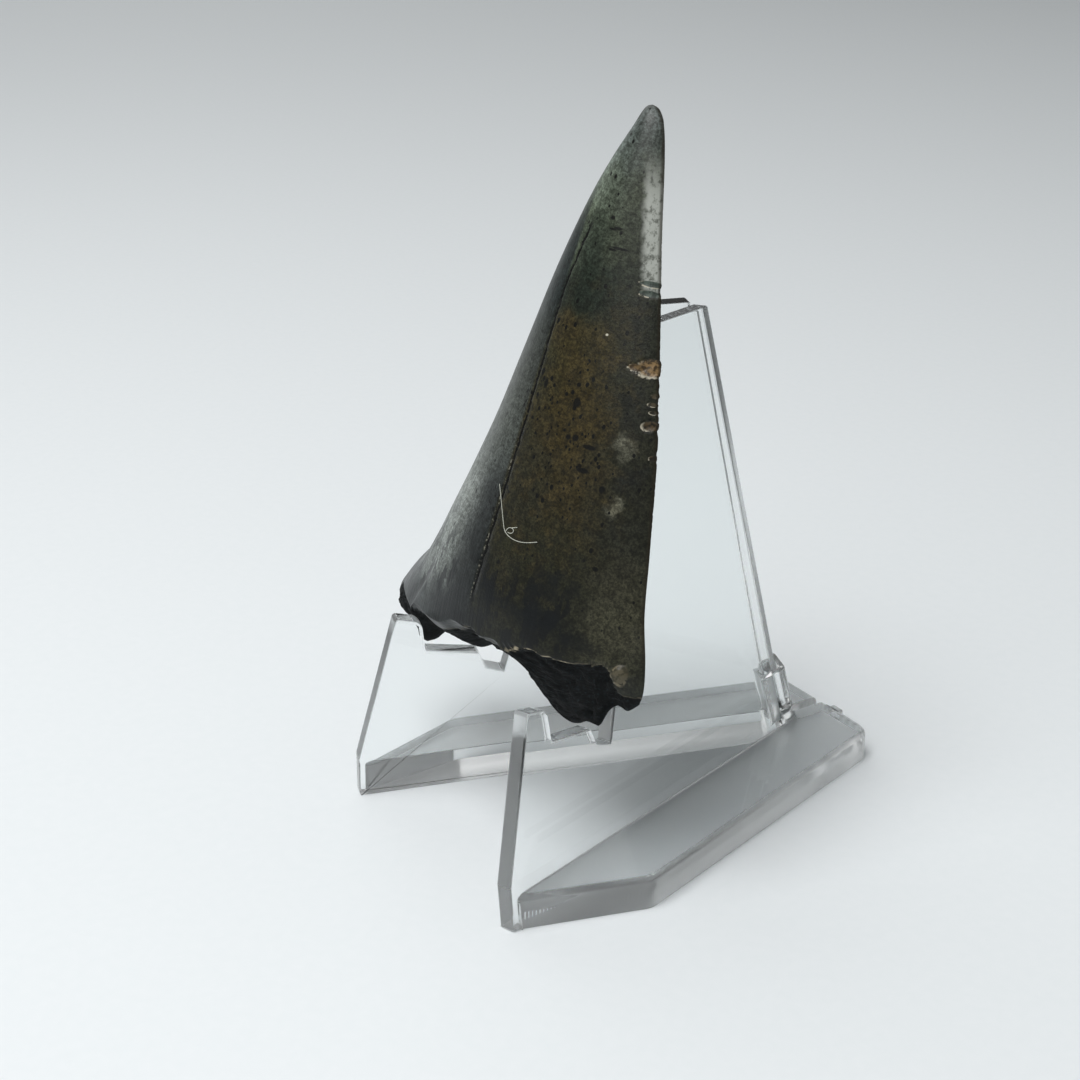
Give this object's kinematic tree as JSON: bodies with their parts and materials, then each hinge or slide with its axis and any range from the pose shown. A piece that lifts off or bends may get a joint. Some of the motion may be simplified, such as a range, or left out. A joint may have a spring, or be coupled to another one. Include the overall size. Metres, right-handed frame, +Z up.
{
  "type": "fossil shark tooth on display easel",
  "caption": "Dark fossil great white shark tooth with a broken root, leaning on a clear hinged easel stand that opens at the front.",
  "frame": {"origin": "centre of the bounding box, on the floor that the easel stands on", "axes": "+Z up, the tooth's lingual face and the open side of the easel towards -Y, +X to the right of someone facing it"},
  "size_m": [0.041, 0.0448, 0.0619],
  "materials": {
    "fossil_enamel": "polished dark olive-brown fossil enamel, rough blue-black root",
    "clear_plastic": "clear, glossy, injection moulded"
  },
  "bodies": {
    "easel_left": {"stand_left": "clear_plastic", "tooth": "fossil_enamel"},
    "easel_right": {"stand_right": "clear_plastic"}
  },
  "joints": [
    {"name": "easel_hinge", "type": "hinge", "parent": "easel_left", "child": "easel_right", "pos_m": [0.00364, 0.01698, 0], "axis": [0, -0.289, 0.9573], "range_deg": [0, 8]}
  ]
}
